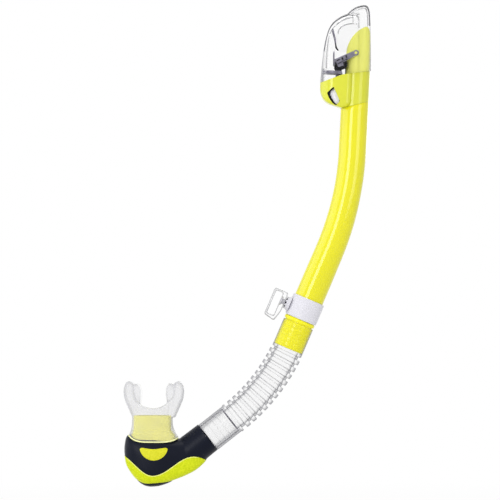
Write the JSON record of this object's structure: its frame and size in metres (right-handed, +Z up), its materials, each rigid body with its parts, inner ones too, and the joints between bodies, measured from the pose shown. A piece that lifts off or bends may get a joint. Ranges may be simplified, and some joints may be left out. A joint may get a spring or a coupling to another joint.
{
  "type": "dry-top snorkel",
  "caption": "Dry-top snorkel: bent barrel with a float-valve head, sliding strap keeper, soft ribbed hose, and a purge chamber with a silicone bite mouthpiece.",
  "frame": {"origin": "middle of the strap slot of the keeper's clip, in the plane of the tube", "axes": "+Z up as in the picture, head at the top; +X from the strap slot towards the barrel; +Y away from the viewer, across the plane of the tube"},
  "size_m": [0.2222, 0.0352, 0.4318],
  "materials": {
    "barrel_yellow": "glossy",
    "head_yellow": "glossy",
    "clear_plastic": "clear, polished",
    "clear_silicone": "clear, satin",
    "mouth_silicone": "clear, satin",
    "frosted_plastic": "frosted",
    "white_plastic": "satin",
    "float_white": "matte",
    "grey_plastic": "satin",
    "black_plastic": "glossy",
    "lime_trim": "satin",
    "black_rubber": "matte",
    "steel": "brushed"
  },
  "bodies": {
    "barrel": {"barrel": "barrel_yellow", "hose_adapter": "barrel_yellow", "hose": "clear_silicone", "dry_top_base": "head_yellow", "intake_riser": "head_yellow", "top_joint_ring": "black_rubber", "air_duct": "clear_plastic", "top_cover": "clear_plastic", "float_guide": "grey_plastic", "lever_rest": "black_rubber", "lever_pins": "steel"},
    "lever": {"valve_lever": "grey_plastic", "seal_pad": "black_rubber"},
    "float": {"float": "float_white", "float_stem": "grey_plastic"},
    "keeper": {"keeper_ring": "white_plastic", "clip_stud": "white_plastic"},
    "clip": {"strap_clip": "clear_plastic"},
    "nipple": {"hose_nipple": "frosted_plastic"},
    "chamber": {"chamber_body": "black_plastic", "chamber_trim": "lime_trim", "front_inlay": "lime_trim", "rear_inlay": "lime_trim", "mouth_spigot": "lime_trim", "mouthpiece": "mouth_silicone", "purge_seat": "white_plastic", "purge_cover": "black_plastic"},
    "purge": {"purge_valve": "mouth_silicone"}
  },
  "joints": [
    {"name": "float_rise", "type": "slide", "parent": "barrel", "child": "float", "axis": [0.0497, 0, 0.9988], "range_m": [0, 0.00654]},
    {"name": "lever_swing", "type": "hinge", "parent": "barrel", "child": "lever", "pos_m": [0.07256, 0, 0.22429], "axis": [0, 1, 0], "range_deg": [0, 22]},
    {"name": "keeper_slide", "type": "slide", "parent": "barrel", "child": "keeper", "axis": [0.3923, 0, 0.9198], "range_m": [0, 0.034]},
    {"name": "clip_swivel", "type": "hinge", "parent": "keeper", "child": "clip", "pos_m": [0.00157, 0, 0.00368], "axis": [0.9198, 0, -0.3923], "continuous": true},
    {"name": "hose_flex", "type": "hinge", "parent": "barrel", "child": "nipple", "pos_m": [-0.00768, 0, -0.07333], "axis": [0, 1, 0], "range_deg": [-25, 40], "stiffness_Nm_per_rad": 0.8, "deforming": ["hose"]},
    {"name": "chamber_swivel", "type": "hinge", "parent": "nipple", "child": "chamber", "pos_m": [-0.06024, 0, -0.1213], "axis": [0.7859, 0, 0.6184], "range_deg": [-60, 60]},
    {"name": "purge_lift", "type": "slide", "parent": "chamber", "child": "purge", "axis": [0, 0, -1], "range_m": [0, 0.0015], "stiffness_N_per_m": 25, "springref_m": -0.0004}
  ],
  "couplings": [
    {"joint": "lever_swing", "follows": "float_rise", "rad_per_m": 58.736}
  ]
}
